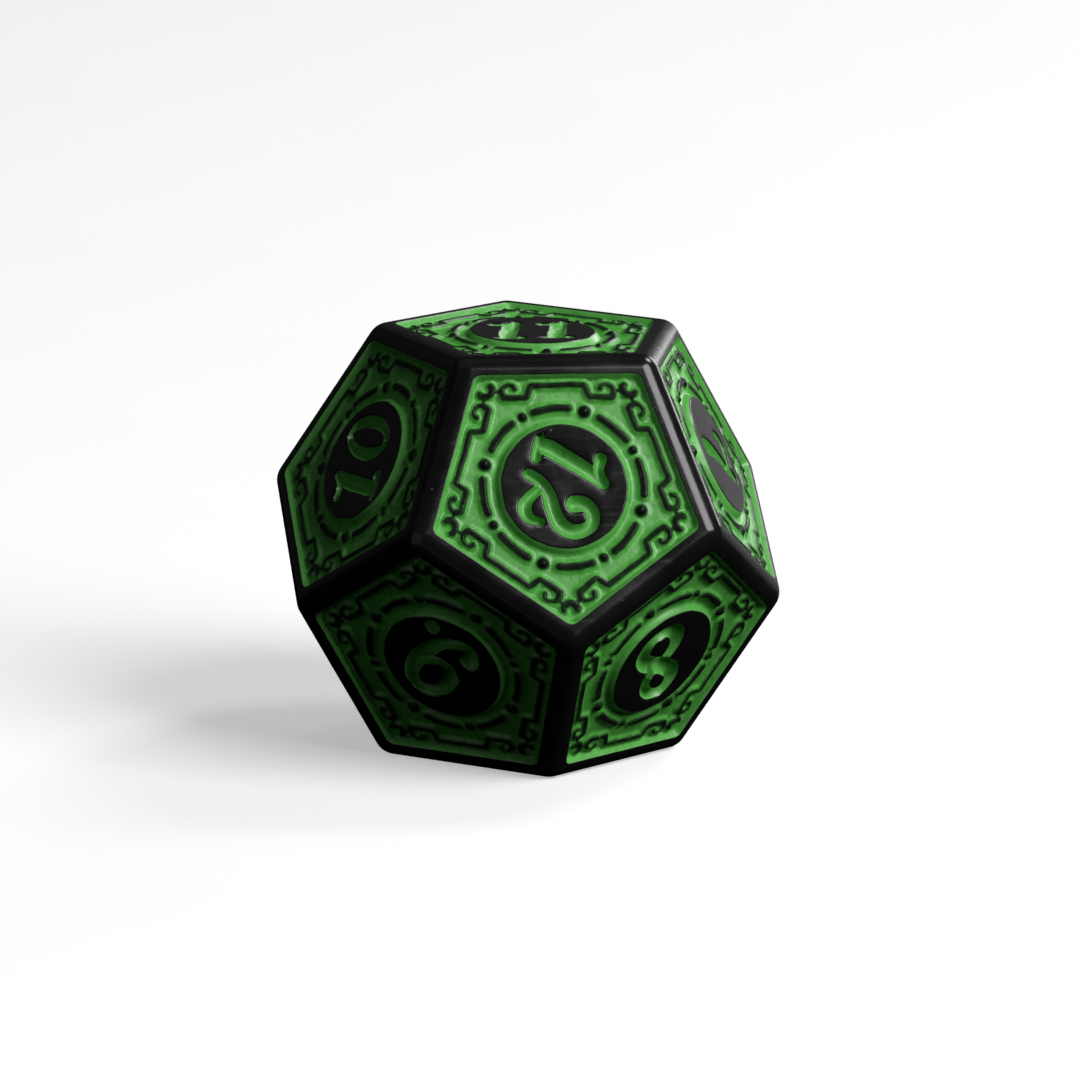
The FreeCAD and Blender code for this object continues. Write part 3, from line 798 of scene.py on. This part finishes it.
def build_body(material):
    """The moulded body: twelve carved faces, thirty rounded edges and twenty rounded corners."""
    panel_points, panel_triangles = body_panel_mesh()
    x, y = panel_points.T
    relief = np.column_stack((x, y, sunk(*panel_relief(x, y))))
    facing = upward_normals(panel_height, x, y)
    ridge = ridge_gap(x, y)
    parts = []
    for number in NUMBERS:
        parts.append((to_die(number, relief), panel_triangles, turned(number, facing), ridge))
        chains = numeral_chains(number)
        levels = {-0.07: 0.12, -0.03: 0.09, 0.0: 0.07, 0.06: 0.10, 0.14: 0.12}
        spots, triangles = disc_mesh(chains, levels, 0.14, 0.30)

        def height(u, v):
            return numeral_relief(u, v, chains)[0]

        x, y = spots.T
        z = sunk(*numeral_relief(x, y, chains))
        engraved = to_die(number, np.column_stack((x, y, z)))
        normals = turned(number, upward_normals(height, x, y))
        parts.append((engraved, triangles, normals, np.ones(len(z))))
    pairs, triples = neighbours()
    for triple in triples:
        points, triangles, normals = rounded_corner(inner_corner(triple), *[NORMALS[n] for n in triple])
        parts.append((points, triangles, normals, np.ones(len(points))))
    for a, b in pairs:
        start, end = [inner_corner(triple) for triple in triples if a in triple and b in triple]
        points, triangles, normals = rounded_edge(start, end, NORMALS[a], NORMALS[b])
        parts.append((points, triangles, normals, np.ones(len(points))))
    points, triangles, normals, ridge = welded(parts)
    return mesh_object("die_body_moulded", points, triangles, normals, material, {"ridge": ridge})


# ---------------------------------------------------------------- paint

PAINT_FOOT = 0.15                             # the paint's underside lies this far inside the body
PANEL_FILM = (0.05, 0.16)                     # thickness, and the width over which it is reached
NUMERAL_FILM = (0.04, 0.14)
FILM_TUCK = 0.006                             # the film's edge starts this far under the surface


def closed_film(name, number, top, triangles, facing, foot, material, layers):
    """Closed film: its painted top, and an underside hidden in the body."""
    count = len(top)
    border = border_edges(triangles)
    under = top.copy()
    under[:, 2] = foot
    walls = []
    for a, b in border:
        walls += [(b, a, a + count), (b, a + count, b + count)]
    lower = triangles[:, ::-1] + count
    points = np.concatenate((top, under))
    every = np.concatenate((triangles, lower, np.array(walls)))
    normals = np.concatenate((facing, np.tile((0.0, 0.0, -1.0), (count, 1))))
    layers = {key: np.concatenate((value, value)) for key, value in layers.items()}
    return mesh_object(name, to_die(number, points), every, turned(number, normals), material, layers)


def film_relief(height, paint, film):
    """Top of the paint over a carved shape, swelling from the film's edge to its full thickness."""
    full, ramp = film
    cover = np.clip(paint / ramp, 0.0, 1.0)
    return height - FILM_TUCK + (full + FILM_TUCK) * cover * cover * (3.0 - 2.0 * cover)


def build_panel_paint(material):
    """One film per face over the sunk panel: (piece, the CAD node it replaces)."""
    levels = {0.0: 0.085, 0.04: 0.085, 0.09: 0.085, 0.14: 0.09, 0.20: 0.11, 0.27: 0.14}
    loops = rings(panel_paint, PANEL_REACH, levels)
    loose = spread(PANEL_REACH, 0.16, lambda x, y: panel_paint(x, y) > 0.33)

    def keep(x, y):
        inside = (np.hypot(x, y) > DISC_RADIUS) & (pentagon_gap(x, y, PANEL_APOTHEM) < 0.0)
        return inside & (panel_paint(x, y) > 0.0)

    def top(u, v):
        return film_relief(*panel_relief(u, v), PANEL_FILM)

    spots, triangles = flat_mesh(loops, loose, keep)
    x, y = spots.T
    relief = np.column_stack((x, y, top(x, y)))
    facing = upward_normals(top, x, y)
    foot = -PANEL_DEPTH - PAINT_FOOT
    layers = {"depth": -panel_height(x, y), "ridge": ridge_gap(x, y)}
    pieces = []
    for number in NUMBERS:
        name = f"panel_paint_film_{number:02d}"
        piece = closed_film(name, number, relief, triangles, facing, foot, material, layers)
        pieces.append((piece, f"panel_paint_{number:02d}"))
    return pieces


def build_numeral_paint(material):
    """One film per face in the engraved numeral: (piece, the CAD node it replaces)."""
    foot = -NUMERAL_DEPTH - PAINT_FOOT
    pieces = []
    for number in NUMBERS:
        chains = numeral_chains(number)

        def top(u, v):
            return film_relief(*numeral_relief(u, v, chains), NUMERAL_FILM)

        levels = {0.0: 0.08, 0.03: 0.08, 0.07: 0.09, 0.12: 0.10, 0.18: 0.12}
        spots, triangles = disc_mesh(chains, levels, 0.10)
        x, y = spots.T
        relief = np.column_stack((x, y, top(x, y)))
        facing = upward_normals(top, x, y)
        layers = {"depth": -numeral_relief(x, y, chains)[0], "ridge": np.ones(len(x))}
        name = f"numeral_paint_film_{number:02d}"
        piece = closed_film(name, number, relief, triangles, facing, foot, material, layers)
        pieces.append((piece, f"numeral_paint_{number:02d}"))
    return pieces


# ---------------------------------------------------------------- materials

RESIN_DARK = (0.0068, 0.0070, 0.0076)
RESIN_WORN = (0.0110, 0.0102, 0.0098)
DUST = (0.13, 0.135, 0.12)
THIN_PAINT = (0.022, 0.085, 0.019)            # lets the black show through
GREEN_DEEP = (0.080, 0.40, 0.052)
GREEN_FRESH = (0.115, 0.50, 0.078)
GREEN_PALE = (0.18, 0.55, 0.14)
GREEN_DULL = (0.045, 0.25, 0.035)
# painted highlight: pale green that stands in for the light caught by raised paint
GREEN_PAINTED_HIGHLIGHT = (0.24, 0.60, 0.20)
FLECK_DARK = (0.035, 0.16, 0.03)
FLECK_PALE = (0.50, 0.72, 0.46)
CARD_LOW = (0.785, 0.785, 0.785)
CARD_HIGH = (0.815, 0.815, 0.815)
CARD_GLOW = 0.45


def new_material(name):
    """Material with its node tree, its shader and the place of a point on the object."""
    material = bpy.data.materials.new(name)
    material.use_nodes = True
    tree = material.node_tree
    place = tree.nodes.new("ShaderNodeTexCoord").outputs["Object"]
    return material, tree, tree.nodes["Principled BSDF"], place


def plug(tree, socket, value):
    """Link a socket to another one, or set its value."""
    if isinstance(value, bpy.types.NodeSocket):
        tree.links.new(value, socket)
    else:
        socket.default_value = value


def grain(tree, place, per_mm, detail=3.0, roughness=0.55, stretch=None):
    """Smooth noise from 0 to 1, with so many waves per millimetre."""
    if stretch is not None:
        mapping = tree.nodes.new("ShaderNodeMapping")
        mapping.inputs["Scale"].default_value = stretch
        tree.links.new(place, mapping.inputs["Vector"])
        place = mapping.outputs["Vector"]
    node = tree.nodes.new("ShaderNodeTexNoise")
    node.inputs["Scale"].default_value = per_mm / MM
    node.inputs["Detail"].default_value = detail
    node.inputs["Roughness"].default_value = roughness
    tree.links.new(place, node.inputs["Vector"])
    return node.outputs["Fac"]


def specks(tree, place, per_mm, radius, share):
    """Sparse round specks: 1 inside, 0 outside. Only a share of the cells holds one."""
    cells = tree.nodes.new("ShaderNodeTexVoronoi")
    cells.inputs["Scale"].default_value = per_mm / MM
    tree.links.new(place, cells.inputs["Vector"])
    channel = tree.nodes.new("ShaderNodeSeparateColor")
    tree.links.new(cells.outputs["Color"], channel.inputs["Color"])
    chosen = remap(tree, channel.outputs["Red"], share, share - 0.01, 0.0, 1.0)
    spot = remap(tree, cells.outputs["Distance"], radius, radius * 0.5, 0.0, 1.0)
    return combine(tree, "MULTIPLY", chosen, spot)


def remap(tree, value, low, high, to_low, to_high):
    """Value carried from one span to another, clamped at both ends."""
    node = tree.nodes.new("ShaderNodeMapRange")
    for socket, setting in zip(node.inputs, (value, low, high, to_low, to_high)):
        plug(tree, socket, setting)
    return node.outputs["Result"]


def combine(tree, operation, a, b):
    """Two values joined by an operation, such as ADD or MULTIPLY."""
    node = tree.nodes.new("ShaderNodeMath")
    node.operation = operation
    plug(tree, node.inputs[0], a)
    plug(tree, node.inputs[1], b)
    return node.outputs["Value"]


def blend(tree, share, a, b):
    """Colour between two colours."""
    node = tree.nodes.new("ShaderNodeMix")
    node.data_type = "RGBA"
    for name, value in (("Factor_Float", share), ("A_Color", a), ("B_Color", b)):
        socket = next(item for item in node.inputs if item.identifier == name)
        opaque = value + (1.0,) if isinstance(value, tuple) else value
        plug(tree, socket, opaque)
    return next(item for item in node.outputs if item.identifier == "Result_Color")


def layer_of(tree, name):
    """Value of one of the mesh's float layers."""
    node = tree.nodes.new("ShaderNodeAttribute")
    node.attribute_name = name
    return node.outputs["Fac"]


def bumped(tree, shader, height, relief):
    """Small relief, in millimetres, on a material."""
    node = tree.nodes.new("ShaderNodeBump")
    node.inputs["Strength"].default_value = 1.0
    node.inputs["Distance"].default_value = relief * MM
    tree.links.new(height, node.inputs["Height"])
    tree.links.new(node.outputs["Normal"], shader.inputs["Normal"])


def black_plastic():
    """Glossy moulded resin with wipe marks, specks of dust, and dull ridges that keep some paint."""
    material, tree, shader, place = new_material("black_plastic")
    ridge = layer_of(tree, "ridge")
    wiped = grain(tree, place, 0.35, detail=4.0)
    fine = grain(tree, place, 5.0, detail=3.0)
    streaks = grain(tree, place, 1.0, detail=2.0, stretch=(0.3, 6.0, 3.0))

    tone = blend(tree, remap(tree, wiped, 0.35, 0.7, 0.0, 1.0), RESIN_DARK, RESIN_WORN)
    on_ridge = remap(tree, ridge, 0.03, -0.01, 0.0, 1.0)
    uneven = remap(tree, grain(tree, place, 2.2), 0.3, 0.7, -0.05, 0.05)
    flank = remap(tree, combine(tree, "ADD", ridge, uneven), -0.09, 0.01, 0.04, 0.85)
    tone = blend(tree, combine(tree, "MULTIPLY", on_ridge, flank), tone, THIN_PAINT)
    dust = specks(tree, place, 2.2, 0.11, 0.10)
    tone = blend(tree, dust, tone, DUST)
    tree.links.new(tone, shader.inputs["Base Color"])

    rough = remap(tree, wiped, 0.3, 0.75, 0.13, 0.26)
    rough = combine(tree, "ADD", rough, remap(tree, streaks, 0.55, 0.75, 0.0, 0.08))
    rough = combine(tree, "ADD", rough, combine(tree, "MULTIPLY", dust, 0.3))
    tree.links.new(rough, shader.inputs["Roughness"])
    gloss = remap(tree, ridge, 0.04, 0.20, 0.16, 0.46)
    tree.links.new(gloss, shader.inputs["Specular IOR Level"])
    bumped(tree, shader, fine, 0.003)
    return material


def green_paint():
    """Wiped paint: thin and dark where it meets the ridges, uneven and faintly speckled elsewhere, with
    a painted highlight of paler green where it sits high on the walls.
    """
    material, tree, shader, place = new_material("green_paint")
    ridge = layer_of(tree, "ridge")
    depth = layer_of(tree, "depth")
    broad = grain(tree, place, 0.5, detail=3.0)
    mottle = grain(tree, place, 3.0, detail=4.0, roughness=0.6)
    fine = grain(tree, place, 11.0, detail=2.0)

    tone = blend(tree, remap(tree, broad, 0.35, 0.65, 0.0, 1.0), GREEN_DEEP, GREEN_FRESH)
    tone = blend(tree, remap(tree, mottle, 0.45, 0.75, 0.0, 0.55), tone, GREEN_PALE)
    tone = blend(tree, remap(tree, mottle, 0.46, 0.28, 0.0, 0.5), tone, GREEN_DULL)
    # Painted highlight: paler green where the paint sits high, on walls and crests near the ridge tops,
    # in place of the light they catch.
    shallow = remap(tree, depth, 0.26, 0.10, 0.0, 0.35)
    painted_highlight = combine(tree, "MULTIPLY", shallow, remap(tree, fine, 0.4, 0.7, 0.2, 1.0))
    tone = blend(tree, painted_highlight, tone, GREEN_PAINTED_HIGHLIGHT)
    ragged = combine(tree, "ADD", ridge, remap(tree, mottle, 0.3, 0.7, -0.03, 0.03))
    tone = blend(tree, remap(tree, ragged, 0.09, 0.0, 0.0, 0.85), tone, THIN_PAINT)
    tone = blend(tree, specks(tree, place, 3.0, 0.13, 0.10), tone, FLECK_DARK)
    tone = blend(tree, specks(tree, place, 2.3, 0.10, 0.08), tone, FLECK_PALE)
    tree.links.new(tone, shader.inputs["Base Color"])

    rough = remap(tree, grain(tree, place, 0.9, detail=3.0), 0.3, 0.7, 0.27, 0.44)
    tree.links.new(rough, shader.inputs["Roughness"])
    coarse = combine(tree, "MULTIPLY", mottle, 0.8)
    swell = combine(tree, "ADD", coarse, combine(tree, "MULTIPLY", fine, 0.2))
    bumped(tree, shader, swell, 0.022)
    return material


def pale_floor():
    """Plain pale card with a faint grain, which glows a little so that it stays pale."""
    material, tree, shader, place = new_material("pale_floor")
    fibre = grain(tree, place, 0.05, detail=6.0)
    tone = blend(tree, fibre, CARD_LOW, CARD_HIGH)
    tree.links.new(tone, shader.inputs["Base Color"])
    tree.links.new(remap(tree, fibre, 0.3, 0.7, 0.85, 0.95), shader.inputs["Roughness"])
    shader.inputs["Emission Color"].default_value = (1.0, 1.0, 1.0, 1.0)
    shader.inputs["Emission Strength"].default_value = CARD_GLOW
    return material


# ---------------------------------------------------------------- pieces

BLACK = black_plastic()
GREEN = green_paint()

body = build_body(BLACK)
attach(body, "root")
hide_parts("die_body")
for film, node in build_panel_paint(GREEN) + build_numeral_paint(GREEN):
    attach(film, "root")
    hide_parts(node)

# ---------------------------------------------------------------- floor, light and camera

bpy.context.scene.view_settings.view_transform = "Standard"

FLOOR = 4.0                                   # metres from its middle to a side
BACKDROP = (0.86, 0.86, 0.86, 1.0)

floor_mesh = bpy.data.meshes.new("floor")
floor_corners = [(-FLOOR, -FLOOR, 0.0), (FLOOR, -FLOOR, 0.0), (FLOOR, FLOOR, 0.0), (-FLOOR, FLOOR, 0.0)]
floor_mesh.from_pydata(floor_corners, [], [(0, 1, 2, 3)])
floor_mesh.materials.append(pale_floor())
floor = bpy.data.objects.new("floor", floor_mesh)
bpy.context.scene.collection.objects.link(floor)
floor.visible_diffuse = False
floor.visible_glossy = False

world = bpy.data.worlds.new("studio")
world.use_nodes = True
world.node_tree.nodes["Background"].inputs["Color"].default_value = BACKDROP
world.cycles_visibility.diffuse = False
world.cycles_visibility.glossy = False
bpy.context.scene.world = world

MIDDLE = Vector((0.0, 0.0, INRADIUS * MM))


def softbox(name, direction, distance, width, radiance):
    """Square lamp that faces the die (direction, distance and width in metres, radiance)."""
    data = bpy.data.lights.new(name, "AREA")
    data.size = width
    data.energy = radiance * math.pi * width * width
    lamp = bpy.data.objects.new(name, data)
    lamp.location = MIDDLE + Vector(direction).normalized() * distance
    lamp.rotation_mode = "QUATERNION"
    lamp.rotation_quaternion = Vector(direction).to_track_quat("Z", "Y")
    lamp.visible_camera = False
    bpy.context.scene.collection.objects.link(lamp)


softbox("key", (0.57, -0.53, 0.63), 0.5, 0.31, 7.75)
softbox("window", (0.60, 0.30, 0.74), 0.5, 0.12, 11.0)
softbox("back_right", (0.62, 0.78, -0.02), 0.6, 0.38, 0.20)
softbox("rim", (0.66, 0.70, 0.26), 0.6, 0.24, 3.8)
softbox("back", (0.05, 1.0, 0.25), 0.6, 0.4, 0.045)
softbox("back_left", (-0.70, 0.67, 0.24), 0.6, 0.4, 0.03)
softbox("fill_above", (-0.3, 0.1, 1.0), 0.8, 0.8, 0.08)
softbox("fill_left", (-0.8, -0.6, 0.1), 0.8, 0.8, 0.165)

CAMERA_AZIMUTH = math.radians(-10.6)
CAMERA_HEIGHT = math.radians(13.31)
CAMERA_ROLL = math.radians(1.45)
CAMERA_DISTANCE = 0.3289
SENSOR_WIDTH = 36.0                           # millimetres, like the lens
LENS = 242.6
LENS_SHIFT = (0.0115, -0.0041)                # shares of the picture's width
backwards = Vector((
    math.sin(CAMERA_AZIMUTH) * math.cos(CAMERA_HEIGHT),
    -math.cos(CAMERA_AZIMUTH) * math.cos(CAMERA_HEIGHT),
    math.sin(CAMERA_HEIGHT),
))
camera_data = bpy.data.cameras.new("camera")
camera_data.sensor_width = SENSOR_WIDTH
camera_data.lens = LENS
camera_data.shift_x, camera_data.shift_y = LENS_SHIFT
camera = bpy.data.objects.new("camera", camera_data)
camera.location = MIDDLE + backwards * CAMERA_DISTANCE
camera.rotation_mode = "QUATERNION"
camera.rotation_quaternion = Quaternion(backwards, CAMERA_ROLL) @ backwards.to_track_quat("Z", "Y")
bpy.context.scene.collection.objects.link(camera)
bpy.context.scene.camera = camera

bpy.context.view_layer.update()
